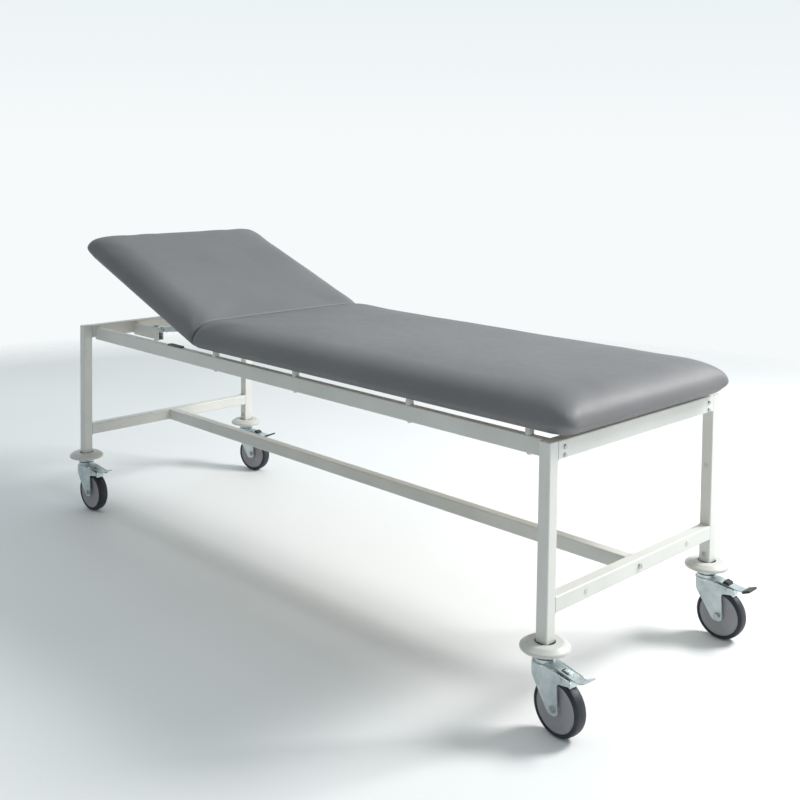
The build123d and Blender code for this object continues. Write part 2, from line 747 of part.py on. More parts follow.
def build_bumper(end, side):
    """Round bumper disc that turns on the stem, under the end of the leg."""
    stem = stem_plane(end, side)
    bottom = upper_race_top + bumper_gap
    top = bottom + bumper_thickness
    seat = top - recess_depth
    bore = stem_sleeve / 2 + running_gap
    lip = bumper_recess / 2
    rim = bumper_size / 2
    shoulder = rim - bumper_rim
    boss = bumper_boss / 2
    under = bottom + bumper_boss_height
    with BuildPart() as disc:
        with BuildSketch(side_view(stem)):
            with BuildLine():
                FilletPolyline((bore, bottom), (boss, bottom), (boss, under), (rim, under), (rim, top - 9),
                               (shoulder, top), (lip, top), (lip, seat), (bore, seat),
                               radius=[0, 1, 2, 3, 4, 12, 1, 0, 0], close=True)
            make_face()
        revolve(axis=Axis(stem.origin, (0, 0, 1)))
    write(disc, f"{end}_{side}_bumper_disc")


def build_fork(end, side):
    stem = stem_plane(end, side)
    outer = fork_inside / 2 + fork_wall
    low = wheel_radius - fork_tip - 2
    tip = trail + fork_tip + 3
    rear_top = fork_top - fork_rear_drop
    beyond = fork_rear + 5
    under = fork_top - fork_plate
    with BuildPart() as fork:
        with BuildSketch(side_view(stem)):
            with BuildLine():
                FilletPolyline((-fork_front, fork_top), (fork_shoulder, fork_top), (fork_rear, rear_top),
                               (fork_rear - 2, rear_top - fork_rear_height),
                               (fork_throat, fork_top - fork_throat_drop), (tip, low),
                               (trail - fork_tip - 1, low), (-fork_front, fork_top - 28),
                               radius=[3, 12, 2.5, 3, 8, fork_tip, fork_tip, 35], close=True)
            make_face()
        extrude(amount=outer, both=True)
        rod(stem.offset(under - 2), fork_dish, fork_plate + 2)
        rod(stem.offset(fork_top), race_size - 3, lower_race_top - fork_top)
        with BuildSketch(side_view(stem)):
            with BuildLine():
                Polyline((-fork_dish, low - 5), (-fork_dish, under), (pedal_front - 1, under),
                         (pedal_front - 1, fork_top + 5), (beyond, fork_top + 5), (beyond, low - 5),
                         close=True)
            make_face()
        extrude(amount=fork_inside / 2, both=True, mode=Mode.SUBTRACT)
        drill(stem.offset(under - 5), king_pin + 2 * running_gap, lower_race_top - under + 10)
        ring_groove(stem)
        axle = Plane(origin=stem.from_local_coords((trail, 0, wheel_radius)), x_dir=stem.x_dir,
                     z_dir=stem.y_dir)
        drill(axle, bolt_size + 2 * running_gap, 2 * outer, both=True)
        pin = Plane(origin=stem.from_local_coords((pedal_pin_at[0], 0, pedal_pin_at[1])), x_dir=stem.x_dir,
                    z_dir=stem.y_dir)
        drill(pin, pin_size + 2 * running_gap, 2 * outer, both=True)
    write(fork, f"{end}_{side}_fork")


def build_fork_pins(end, side):
    """Axle bolt with its nut, and the brake pedal's pin."""
    stem = stem_plane(end, side)
    outer = fork_inside / 2 + fork_wall
    axle = Plane(origin=stem.from_local_coords((trail, 0, wheel_radius)), x_dir=stem.x_dir, z_dir=stem.y_dir)
    pin = Plane(origin=stem.from_local_coords((pedal_pin_at[0], 0, pedal_pin_at[1])), x_dir=stem.x_dir,
                z_dir=stem.y_dir)
    with BuildPart() as pins:
        rod(axle.offset(-outer - nut_height - 1), bolt_size, 2 * outer + nut_height + 1)
        for start, thick in ((-outer - nut_height, nut_height), (outer, bolt_head_height)):
            with BuildSketch(axle.offset(start)):
                RegularPolygon(nut_flats / 2, 6, major_radius=False)
            extrude(amount=thick)
        rod(pin.offset(-outer - 1), pin_size, 2 * outer + 2)
        for start in (-outer - pin_head, outer):
            rod(pin.offset(start), pin_size + pin_rim, pin_head)
    write(pins, f"{end}_{side}_fork_pins")


def build_hub(end, side):
    stem = stem_plane(end, side)
    rim = hub_size / 2
    with BuildPart() as hub:
        with BuildSketch(axle_plane(stem)):
            with BuildLine():
                half = [(0, bolt_size / 2 + running_gap), (hub_width / 2, bolt_size / 2 + running_gap),
                        (hub_width / 2, hub_boss / 2 - 2), (hub_disc / 2 - 1, hub_boss / 2),
                        (hub_disc / 2 - 1, rim - 6), (hub_disc / 2, rim - 3), (hub_disc / 2, rim), (0, rim)]
                Polyline(*half, close=True)
            make_face()
            mirror(about=Plane.YZ)
        revolve(axis=Axis(axle_plane(stem).origin, stem.y_dir))
    write(hub, f"{end}_{side}_hub")


def build_tyre(end, side):
    stem = stem_plane(end, side)
    rim = hub_size / 2
    half = tyre_width / 2
    with BuildPart() as tyre:
        with BuildSketch(axle_plane(stem)):
            with BuildLine():
                Polyline((0, rim), (half, rim), (half, wheel_radius - 6.5))
                ThreePointArc((half, wheel_radius - 6.5), (half - 1.6, wheel_radius - 2.9),
                              (half - 5, wheel_radius - 0.9))
                RadiusArc((half - 5, wheel_radius - 0.9), (0, wheel_radius), -tyre_crown)
                Line((0, wheel_radius), (0, rim))
            make_face()
            mirror(about=Plane.YZ)
        revolve(axis=Axis(axle_plane(stem).origin, stem.y_dir))
    write(tyre, f"{end}_{side}_tyre")


def deck(x):
    """Height of the underside of a pedal's plate, which lies along the cheeks' sloping tops."""
    slope = fork_rear_drop / (fork_rear - fork_shoulder)
    return fork_top + pedal_lift - slope * (min(x, fork_rear) - fork_shoulder)


def build_pedal(end, side):
    """Brake pedal: a bent plate on two ears, with the shoe that bears on the tyre."""
    stem = stem_plane(end, side)
    side_on = side_view(stem)
    pin_x, pin_z = pedal_pin_at
    low = deck(fork_rear)
    ear = pedal_width / 2
    reach = wheel_radius + shoe_gap
    first, last = radians(shoe_from), radians(shoe_to)
    arc = [(trail + reach * cos(a), wheel_radius + reach * sin(a)) for a in (last, (first + last) / 2, first)]
    toe_x, toe_z = arc[0]
    heel_x = arc[2][0]
    tip_low = low + pedal_rise * (pedal_tip - pedal_bend) / (pedal_end - pedal_bend)
    with BuildPart() as pedal:
        with BuildSketch(side_on):
            with BuildLine():
                Polyline((pin_x - 14, deck(pin_x - 14) + 0.5), (pin_x + 12, low + 1.5),
                         (pin_x + 6, pin_z - 6), (pin_x - 6, pin_z - 6), close=True)
            make_face()
        extrude(amount=ear, both=True)
        with BuildSketch(side_on):
            with Locations((pin_x, pin_z)):
                Rectangle(3 * ear, 3 * ear)
        extrude(amount=ear - ear_wall, both=True, mode=Mode.SUBTRACT)
        with BuildSketch(side_on):
            with BuildLine():
                Polyline((pedal_front, deck(pedal_front)), (fork_rear, low), (pedal_bend, low),
                         (pedal_end, low + pedal_rise), (pedal_end - 1, low + pedal_rise + pedal_thickness),
                         (pedal_bend - 1, low + pedal_thickness), (fork_rear, low + pedal_thickness),
                         (pedal_front, deck(pedal_front) + pedal_thickness), close=True)
            make_face()
        extrude(amount=ear, both=True)
        with BuildSketch(side_on):
            with BuildLine():
                Polyline((pedal_tip, tip_low), (pedal_end, low + pedal_rise),
                         (pedal_end - 1, low + pedal_rise + pedal_thickness),
                         (pedal_tip - 1, tip_low + pedal_thickness), close=True)
            make_face()
        extrude(amount=pedal_tip_width / 2, both=True)
        with BuildSketch(side_on):
            with BuildLine():
                ThreePointArc(*arc)
                Polyline(arc[2], (heel_x + 2, deck(heel_x + 2) + 1), (heel_x - 6, deck(heel_x - 6) + 1),
                         (toe_x + 8, toe_z + shoe_thickness + 3), (toe_x, toe_z + shoe_thickness), arc[0])
            make_face()
        extrude(amount=tyre_width / 2 - 3, both=True)
        pin = Plane(origin=side_on.from_local_coords((pin_x, pin_z, 0)), x_dir=stem.x_dir, z_dir=stem.y_dir)
        drill(pin, pin_size + 2 * running_gap, fork_inside, both=True)
    write(pedal, f"{end}_{side}_brake_pedal")


def build_pedal_cap(end, side):
    """Plastic tread on the end of a pedal, and the release button on its plate."""
    side_on = side_view(stem_plane(end, side))
    low = deck(fork_rear)
    turned_up = low + pedal_rise
    slip = fit_gap / 2
    button_from, button_to = 50.0, 68.0
    button_height = 6.0
    with BuildPart() as cap:
        with BuildSketch(side_on):
            with BuildLine():
                Polyline((pedal_bend + 3, low - 1), (pedal_end + 4, turned_up - 1),
                         (pedal_end + 3, turned_up + 4.5), (pedal_bend + 1, low + 5), close=True)
            make_face()
        extrude(amount=pedal_tip_width / 2 + 1.5, both=True)
        with BuildSketch(side_on):
            with BuildLine():
                Polyline((pedal_bend - 1, low - slip), (pedal_bend, low - slip),
                         (pedal_end + 2 * slip, turned_up - slip),
                         (pedal_end - 1 + 2 * slip, turned_up + pedal_thickness + slip),
                         (pedal_bend - 1, low + pedal_thickness + slip), close=True)
            make_face()
        extrude(amount=pedal_tip_width / 2 + slip, both=True, mode=Mode.SUBTRACT)
        with BuildSketch(side_on):
            with BuildLine():
                Polyline((button_from, deck(button_from) + pedal_thickness),
                         (button_to, deck(button_to) + pedal_thickness),
                         (button_to - 2, deck(button_to) + pedal_thickness + button_height),
                         (button_from + 4, deck(button_from) + pedal_thickness + button_height), close=True)
            make_face()
        extrude(amount=pedal_width / 2 - 3, both=True)
    write(cap, f"{end}_{side}_pedal_cap")


# ------------------------------------------------------------------ build everything
for end_name in ends:
    build_end_rail(end_name)
    build_end_stretcher(end_name)
    for side_name in sides:
        build_leg(end_name, side_name)
        build_bumper(end_name, side_name)
        build_fork(end_name, side_name)
        build_fork_pins(end_name, side_name)
        build_hub(end_name, side_name)
        build_tyre(end_name, side_name)
        build_pedal(end_name, side_name)
        if side_name == "far":
            build_pedal_cap(end_name, side_name)
for side_name in sides:
    build_side_rail(side_name)
build_long_stretcher()
build_plugs()
build_rail_end_blocks()
build_rail_screws()
build_frame_bolts()
build_pad_spacers()
build_pad_bolts()
build_rest_buffers()
main_pad_end = frame_length - hinge_from_head + foot_overhang
build_board(bed, 1, main_pad_end, "main_board")
build_pad(bed, 1, main_pad_end, "main_pad")
build_board(headrest, -1, head_pad_length, "head_board")
build_pad(headrest, -1, head_pad_length, "head_pad")
build_hinge_leaves(bed, 1, "fixed_hinge_leaves")
build_hinge_leaves(headrest, -1, "moving_hinge_leaves")
build_strut_tubes()
build_lower_brackets()
build_strut_bolts()
build_strut_channels()
build_strut_rods()
build_upper_brackets()
build_headrest_pins()
build_caster_sockets()
build_caster_stems()
build_swivel_balls()
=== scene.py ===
"""Stretcher trolley: camera, studio, finishes, upholstery and small made-on details.

Metres, +Z up. +X runs from the head end to the foot end, and -Y is the near side. The frame holds the metal,
board and plastic pieces; this script upholsters the two pads and adds what is pressed, welded or stapled on.
"""
import json
from math import ceil, cos, pi, radians, sin, tan

import bmesh
import bpy
from mathutils import Matrix, Vector, noise


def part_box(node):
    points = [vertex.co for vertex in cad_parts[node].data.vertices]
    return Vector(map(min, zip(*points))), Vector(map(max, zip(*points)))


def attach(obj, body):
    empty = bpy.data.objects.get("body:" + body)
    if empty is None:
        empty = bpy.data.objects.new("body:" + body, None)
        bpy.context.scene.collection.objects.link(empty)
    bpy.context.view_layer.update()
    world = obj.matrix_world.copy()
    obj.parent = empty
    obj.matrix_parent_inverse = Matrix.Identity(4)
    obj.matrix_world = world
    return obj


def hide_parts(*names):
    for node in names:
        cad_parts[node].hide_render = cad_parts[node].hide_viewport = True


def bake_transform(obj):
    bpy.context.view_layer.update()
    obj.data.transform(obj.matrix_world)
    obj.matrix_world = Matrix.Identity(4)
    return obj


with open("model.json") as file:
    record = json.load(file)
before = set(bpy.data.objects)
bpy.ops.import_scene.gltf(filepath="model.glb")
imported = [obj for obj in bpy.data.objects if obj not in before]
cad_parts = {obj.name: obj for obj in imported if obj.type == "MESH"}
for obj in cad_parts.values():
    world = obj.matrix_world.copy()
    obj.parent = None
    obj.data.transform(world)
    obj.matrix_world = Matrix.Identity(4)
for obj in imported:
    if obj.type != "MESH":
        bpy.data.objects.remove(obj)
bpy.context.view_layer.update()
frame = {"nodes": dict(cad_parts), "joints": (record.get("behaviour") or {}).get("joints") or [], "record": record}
nodes = frame["nodes"]
joints = {joint["name"]: joint for joint in frame["joints"]}
scene = bpy.context.scene

# ------------------------------------------------------------------ places taken from the frame
CORNERS = ("head_near", "head_far", "foot_near", "foot_far")
hinge = Vector(joints["headrest_raise"]["pos_m"])
rest_rise = -radians(joints["headrest_raise"]["range_deg"][0])
main_low, main_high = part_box("main_pad")
head_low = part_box("head_pad")[0]
bed_level = main_low.z
board_drop = bed_level - hinge.z
pad_half_width = (main_high.y - main_low.y) / 2
main_length = main_high.x - hinge.x
head_length = (hinge.x + board_drop * sin(rest_rise) - head_low.x) / cos(rest_rise)


# ------------------------------------------------------------------ camera, floor and light
FLOOR_REACH = 4.2
ROOM_WHITE = (0.93, 0.955, 0.965)
ROOM_BLUE = (0.77, 0.855, 0.88)
ROOM_NEAR, ROOM_FAR = 0.49, 1.0  # brightness of the room behind the camera and behind the trolley


def make_camera():
    """Low three-quarter view from the foot end of the near side."""
    data = bpy.data.cameras.new("camera")
    data.sensor_width = 36.0
    data.lens = 49.4
    data.shift_x = 0.019
    data.shift_y = -0.25
    camera = bpy.data.objects.new("camera", data)
    scene.collection.objects.link(camera)
    azimuth, elevation, roll = radians(45.7), radians(2.9), radians(0.64)
    back = Vector((sin(azimuth) * cos(elevation), -cos(azimuth) * cos(elevation), sin(elevation)))
    turn = (-back).to_track_quat("-Z", "Y").to_matrix() @ Matrix.Rotation(roll, 3, "Z")
    camera.matrix_world = Matrix.Translation((2.315, -2.176, 1.234)) @ turn.to_4x4()
    scene.camera = camera


def make_floor():
    """Pale round floor that fades into the room."""
    bm = bmesh.new()
    bmesh.ops.create_circle(bm, cap_ends=True, radius=FLOOR_REACH, segments=96)
    data = bpy.data.meshes.new("floor")
    bm.to_mesh(data)
    bm.free()
    floor = bpy.data.objects.new("floor", data)
    scene.collection.objects.link(floor)
    paint = Paint("floor_paint", roughness=0.6)
    reach = paint.add("ShaderNodeTexGradient", gradient_type="SPHERICAL")
    place = paint.add("ShaderNodeMapping")
    place.inputs["Scale"].default_value = (1 / FLOOR_REACH, 1 / FLOOR_REACH, 1 / FLOOR_REACH)
    paint.join(paint.place, "Object", place, "Vector")
    paint.join(place, "Vector", reach, "Vector")
    fade = paint.ramp(reach, "Fac", [(0.02, (0.0, 0.0, 0.0)), (0.20, (1.0, 1.0, 1.0))])
    paint.join(fade, "Color", paint.shader, "Alpha")
    clouds = paint.grain(0.9, 2.0)
    paint.colour(clouds, (0.80, 0.805, 0.81), (0.83, 0.835, 0.84))
    data.materials.append(paint.material)


def make_light(name, place, aim, size, power, colour):
    """Soft square lamp at a place, turned to aim at a point."""
    data = bpy.data.lights.new(name, "AREA")
    data.shape = "SQUARE"
    data.size = size
    data.energy = power
    data.color = colour
    lamp = bpy.data.objects.new(name, data)
    scene.collection.objects.link(lamp)
    way = Vector(aim) - Vector(place)
    lamp.matrix_world = Matrix.Translation(place) @ way.to_track_quat("-Z", "Y").to_matrix().to_4x4()


def make_room():
    """Pale room: bright behind the trolley, darker on the near side, whiter at eye level."""
    world = bpy.data.worlds.new("room")
    world.use_nodes = True
    tree = world.node_tree
    background = tree.nodes["Background"]
    place = tree.nodes.new("ShaderNodeTexCoord")
    turn = tree.nodes.new("ShaderNodeMapping")
    turn.inputs["Rotation"].default_value = (0.0, 0.0, radians(-115))
    parts = tree.nodes.new("ShaderNodeSeparateXYZ")
    tint = tree.nodes.new("ShaderNodeValToRGB")
    for element, (position, colour) in zip(tint.color_ramp.elements, ((0.0, ROOM_WHITE), (0.22, ROOM_BLUE))):
        element.position = position
        element.color = (*colour, 1.0)
    depth = tree.nodes.new("ShaderNodeMapRange")
    for socket, value in (("From Min", -0.6), ("From Max", 0.6), ("To Min", ROOM_NEAR), ("To Max", ROOM_FAR)):
        depth.inputs[socket].default_value = value
    tree.links.new(place.outputs["Generated"], turn.inputs["Vector"])
    tree.links.new(turn.outputs["Vector"], parts.inputs["Vector"])
    tree.links.new(parts.outputs["Z"], tint.inputs["Fac"])
    tree.links.new(parts.outputs["X"], depth.inputs["Value"])
    tree.links.new(tint.outputs["Color"], background.inputs["Color"])
    tree.links.new(depth.outputs["Result"], background.inputs["Strength"])
    scene.world = world


def make_studio():
    """Main light from behind and to the right, weaker fill from the foot end."""
    make_light("main_light", (2.3, 2.7, 3.2), (0.0, -0.1, 0.3), 1.3, 215.0, (1.0, 0.99, 0.97))
    make_light("foot_light", (4.2, -0.6, 1.9), (0.4, 0.0, 0.5), 2.2, 9.0, (0.97, 0.98, 1.0))
    scene.view_settings.view_transform = "Standard"
    make_room()


# ------------------------------------------------------------------ finishes


class Paint:
    """One procedural material, which reads Object coordinates."""

    def __init__(self, name, roughness=0.5, metallic=0.0, **sockets):
        self.material = bpy.data.materials.new(name)
        self.material.use_nodes = True
        self.tree = self.material.node_tree
        self.shader = self.tree.nodes["Principled BSDF"]
        self.place = self.add("ShaderNodeTexCoord")
        self.normal = None
        self.shader.inputs["Roughness"].default_value = roughness
        self.shader.inputs["Metallic"].default_value = metallic
        for socket, value in sockets.items():
            self.shader.inputs[socket.replace("_", " ")].default_value = value

    def add(self, kind, **settings):
        node = self.tree.nodes.new(kind)
        for name, value in settings.items():
            setattr(node, name, value)
        return node

    def join(self, source, output, target, socket):
        self.tree.links.new(source.outputs[output], target.inputs[socket])

    def grain(self, scale, detail=2.0, stretch=(1.0, 1.0, 1.0), kind="ShaderNodeTexNoise"):
        """Noise or cells of so many to the metre, stretched along the axes."""
        mapping = self.add("ShaderNodeMapping")
        mapping.inputs["Scale"].default_value = stretch
        texture = self.add(kind)
        texture.inputs["Scale"].default_value = scale
        if "Detail" in texture.inputs:
            texture.inputs["Detail"].default_value = detail
        self.join(self.place, "Object", mapping, "Vector")
        self.join(mapping, "Vector", texture, "Vector")
        return texture

    def ramp(self, source, output, stops):
        """Colour ramp of (position, colour) stops over a value."""
        ramp = self.add("ShaderNodeValToRGB")
        self.join(source, output, ramp, "Fac")
        for element, (position, colour) in zip(ramp.color_ramp.elements, stops):
            element.position = position
            element.color = (*colour, 1.0)
        return ramp

    def colour(self, texture, dark, light, low=0.35, high=0.65):
        """Base colour between two shades, by a texture."""
        output = "Fac" if "Fac" in texture.outputs else "Distance"
        ramp = self.ramp(texture, output, [(low, dark), (high, light)])
        self.join(ramp, "Color", self.shader, "Base Color")
        return ramp

    def gloss(self, texture, low, high):
        """Roughness between two values, by a texture."""
        spread = self.add("ShaderNodeMapRange")
        spread.inputs["To Min"].default_value = low
        spread.inputs["To Max"].default_value = high
        self.join(texture, "Fac", spread, "Value")
        self.join(spread, "Result", self.shader, "Roughness")

    def bump(self, texture, output, strength, depth):
        """Relief of a depth in metres, over any relief that is already there."""
        bump = self.add("ShaderNodeBump")
        bump.inputs["Strength"].default_value = strength
        bump.inputs["Distance"].default_value = depth
        self.join(texture, output, bump, "Height")
        if self.normal:
            self.join(self.normal, "Normal", bump, "Normal")
        self.normal = bump
        self.join(bump, "Normal", self.shader, "Normal")


def painted_tube():
    """Grey-white powder coat with a fine orange peel."""
    paint = Paint("painted_tube", roughness=0.36, Coat_Weight=0.15, Coat_Roughness=0.3)
    clouds = paint.grain(6.0, 3.0)
    paint.colour(clouds, (0.64, 0.645, 0.61), (0.70, 0.705, 0.67))
    peel = paint.grain(900.0, 2.0)
    paint.bump(peel, "Fac", 0.25, 0.0004)
    paint.gloss(paint.grain(60.0, 2.0), 0.30, 0.42)
    return paint.material


def grey_vinyl():
    """Matt grey coated fabric with a pebbled grain."""
    paint = Paint("grey_vinyl", roughness=0.5, Specular_IOR_Level=0.3)
    clouds = paint.grain(3.5, 3.0)
    paint.colour(clouds, (0.160, 0.159, 0.166), (0.185, 0.184, 0.191), 0.3, 0.7)
    pebbles = paint.grain(750.0, kind="ShaderNodeTexVoronoi")
    paint.bump(pebbles, "Distance", 0.30, 0.0005)
    creases = paint.grain(160.0, 4.0)
    paint.bump(creases, "Fac", 0.12, 0.0008)
    paint.gloss(paint.grain(35.0, 3.0), 0.44, 0.58)
    return paint.material


def zinc_plate():
    """Bright zinc with a bluish passivation and faint drawing marks."""
    paint = Paint("zinc_plate", roughness=0.34, metallic=0.85)
    clouds = paint.grain(38.0, 4.0)
    paint.colour(clouds, (0.46, 0.53, 0.55), (0.66, 0.72, 0.73), 0.3, 0.72)
    marks = paint.grain(260.0, 3.0, (1.0, 1.0, 0.15))
    paint.bump(marks, "Fac", 0.18, 0.0004)
    paint.gloss(paint.grain(90.0, 3.0), 0.26, 0.46)
    return paint.material


def plain_steel():
    """Turned and rolled steel of bolts and pins."""
    paint = Paint("plain_steel", roughness=0.32, metallic=0.95)
    clouds = paint.grain(120.0, 3.0)
    paint.colour(clouds, (0.42, 0.43, 0.44), (0.60, 0.61, 0.62))
    paint.bump(paint.grain(700.0, 2.0), "Fac", 0.15, 0.0003)
    return paint.material


def plywood():
    """Birch ply with long grain and small darker flecks."""
    paint = Paint("plywood", roughness=0.68)
    fibres = paint.grain(55.0, 5.0, (0.06, 1.0, 1.0))
    paint.colour(fibres, (0.34, 0.235, 0.135), (0.52, 0.39, 0.25), 0.3, 0.72)
    paint.bump(paint.grain(420.0, 3.0, (0.05, 1.0, 1.0)), "Fac", 0.3, 0.0005)
    return paint.material


def moulded_plastic(name, dark, light, roughness, texture=1100.0, depth=0.0003):
    """Moulded plastic with a fine spark-eroded texture."""
    paint = Paint(name, roughness=roughness)
    paint.colour(paint.grain(14.0, 3.0), dark, light)
    paint.bump(paint.grain(texture, 2.0), "Fac", 0.22, depth)
    paint.gloss(paint.grain(70.0, 2.0), roughness - 0.05, roughness + 0.08)
    return paint.material


def tyre_rubber():
    """Blue-black tread rubber with a dusting of dirt."""
    paint = Paint("tyre_rubber", roughness=0.5, Specular_IOR_Level=0.45)
    dust = paint.grain(45.0, 5.0)
    paint.colour(dust, (0.014, 0.016, 0.024), (0.030, 0.034, 0.046), 0.4, 0.75)
    paint.bump(paint.grain(520.0, 3.0), "Fac", 0.25, 0.0004)
    paint.gloss(paint.grain(60.0, 3.0), 0.42, 0.6)
    return paint.material


FINISHES = {
    "painted_tube": painted_tube(),
    "zinc": zinc_plate(),
    "steel": plain_steel(),
    "vinyl": grey_vinyl(),
    "board": plywood(),
    "white_plastic": moulded_plastic("white_plastic", (0.56, 0.565, 0.53), (0.62, 0.625, 0.59), 0.42),
    "black_plastic": moulded_plastic("black_plastic", (0.012, 0.012, 0.014), (0.022, 0.022, 0.025), 0.42),
    "rubber": moulded_plastic("grey_rubber", (0.13, 0.13, 0.135), (0.17, 0.17, 0.175), 0.7),
    "tyre": tyre_rubber(),
    "hub_plastic": moulded_plastic("hub_plastic", (0.29, 0.287, 0.305), (0.33, 0.327, 0.345), 0.48),
}


def finish_frame():
    """Give every piece of the frame its finish."""
    for part in frame["record"]["subparts"]:
        data = nodes[part["node"]].data
        data.materials.clear()
        data.materials.append(FINISHES[part["material_slot"]])


# ------------------------------------------------------------------ upholstery
PAD_FILL = 0.079  # height over the board's underside, before the cover swells
EDGE_RUN = 0.086  # how far in from the sides the top starts to fall
NOSE_HEIGHT = 0.024  # widest part of the sides, over the board's underside
TUCK = 0.025  # how far the sides pull in from there to the underside
FOLD_ROUND = 0.007  # rounding along the fold between the pads
FAR_CORNER = 0.042
FOLD_CORNER = 0.014
CORNER_DROOP = 0.8  # growth of the corners' radius, from the outline inwards
HEM = 0.030  # width of cover turned under the board
COVER = 0.0006
FOLD_GAP = 0.0003  # from the fold's middle to each pad
BULGE = 0.005  # about the most that the cover moves when it swells
EDGE_STEPS = (0.0, 0.001, 0.004, 0.009, 0.016, 0.025, 0.036, 0.048, 0.062, 0.078, 0.095, 0.112)
GRID_PITCH = 0.015
SIDE_SHARES = (0.12, 0.3, 0.5, 0.7, 0.86, 1.0)  # rings of the side, from the top edge down
SOFT_SHARE = 0.8  # rings above this are free to swell
COVER_STEPS = 20


def grid_lines(low, high):
    """Places of the grid lines: close together at both ends, then even."""
    first = [low + step for step in EDGE_STEPS]
    last = [high - step for step in reversed(EDGE_STEPS)]
    count = ceil((last[0] - first[-1]) / GRID_PITCH)
    pitch = (last[0] - first[-1]) / count
    return first + [first[-1] + pitch * i for i in range(1, count)] + last


def on_outline(u, y, length):
    """Move a point of a square ring, at the same inset, to the ring with round corners."""
    inset = min(length - u, pad_half_width - abs(y))
    corner = min(FAR_CORNER + CORNER_DROOP * inset, 0.8 * (pad_half_width - inset))
    out_u = u - (length - inset - corner)
    out_y = abs(y) - (pad_half_width - inset - corner)
    side = 1 if y > 0 else -1
    if out_u > 0 and out_y > 0:
        stretch = corner / (out_u ** 2 + out_y ** 2) ** 0.5
        return u + out_u * (stretch - 1), y + side * out_y * (stretch - 1)
    if u < FOLD_CORNER:
        cut_back = FOLD_CORNER - (FOLD_CORNER ** 2 - (FOLD_CORNER - u) ** 2) ** 0.5
        y -= side * cut_back * max(0.0, 1 - inset / 0.03)
    return u, y


def fall(distance, run, depth):
    """How far the top has fallen at a distance from an edge, along a rounded shoulder."""
    share = max(0.0, 1 - distance / run)
    return depth * (1 - (1 - share ** 2) ** 0.5)


def top_height(u, y, length):
    """Height of the foam over the board's underside."""
    shoulder = fall(min(length - u, pad_half_width - abs(y)), EDGE_RUN, PAD_FILL - NOSE_HEIGHT)
    fold = fall(u, FOLD_ROUND, FOLD_ROUND)
    return max(NOSE_HEIGHT, PAD_FILL - (shoulder ** 3 + fold ** 3) ** (1 / 3))


def lean(u, height):
    """Slant the end at the fold back to the middle of the angle between the pads."""
    reach = max(0.0, 1 - u / 0.10)
    return u + FOLD_GAP + reach * (height + board_drop) * tan(rest_rise / 2)


def pad_block(name, length):
    """Closed block of a pad, in its own frame: X away from the hinge, Z up from the board's underside."""
    across = grid_lines(-pad_half_width, pad_half_width)
    along = grid_lines(0.0, length)
    bm = bmesh.new()
    soft = []
    grid = {}
    for i, u in enumerate(along):
        for j, y in enumerate(across):
            place_u, place_y = on_outline(u, y, length)
            grid[i, j] = bm.verts.new((place_u, place_y, top_height(u, y, length)))
            soft.append(grid[i, j])
    last_i, last_j = len(along) - 1, len(across) - 1
    for i in range(last_i):
        for j in range(last_j):
            bm.faces.new((grid[i, j], grid[i + 1, j], grid[i + 1, j + 1], grid[i, j + 1]))
    rim = [(i, 0) for i in range(last_i)] + [(last_i, j) for j in range(last_j)]
    rim += [(i, last_j) for i in range(last_i, 0, -1)] + [(0, j) for j in range(last_j, 0, -1)]
    ring = [grid[key] for key in rim]
    rim_places = [vert.co.copy() for vert in ring]
    for share in SIDE_SHARES:
        ring = next_ring(bm, ring, rim_places, length, TUCK * share ** 2, 1 - share, True)
        if share < SOFT_SHARE:
            soft += ring
    for inset, height in ((0.0015, -COVER), (0.012, -COVER), (HEM, -COVER), (HEM + 0.002, COVER)):
        ring = next_ring(bm, ring, rim_places, length, TUCK + inset, height, False)
    under = dict(zip(rim, ring))
    for i in range(1, last_i - 1):
        bm.faces.new((under[i, last_j], under[i + 1, last_j], under[i + 1, 0], under[i, 0]))
    for end, inner in ((0, 1), (last_i, last_i - 1)):
        bm.faces.new([under[end, j] for j in range(last_j + 1)] + [under[inner, last_j], under[inner, 0]])
    soft_numbers = set()
    bm.verts.index_update()
    for vert in soft:
        soft_numbers.add(vert.index)
    for vert in bm.verts:
        vert.co.x = lean(vert.co.x, vert.co.z)
    bmesh.ops.recalc_face_normals(bm, faces=bm.faces)
    data = bpy.data.meshes.new(name)
    bm.to_mesh(data)
    bm.free()
    pad = bpy.data.objects.new(name, data)
    scene.collection.objects.link(pad)
    held = pad.vertex_groups.new(name="held")
    held.add([v.index for v in data.vertices if v.index not in soft_numbers], 1.0, "REPLACE")
    return pad


def next_ring(bm, ring, rim_places, length, inset, height, as_share):
    """Add one more ring of the pad's side or hem, joined to the last one."""
    verts = []
    for place in rim_places:
        level = place.z * height if as_share else height
        hem = 0.0 if as_share else max(0.0, inset - TUCK)
        inner_x = hem + place.x * (1 - (inset + hem) / length)
        inner_y = place.y * (1 - inset / pad_half_width)
        verts.append(bm.verts.new((inner_x, inner_y, level)))
    for i in range(len(ring)):
        j = (i + 1) % len(ring)
        bm.faces.new((ring[i], verts[i], verts[j], ring[j]))
    return verts


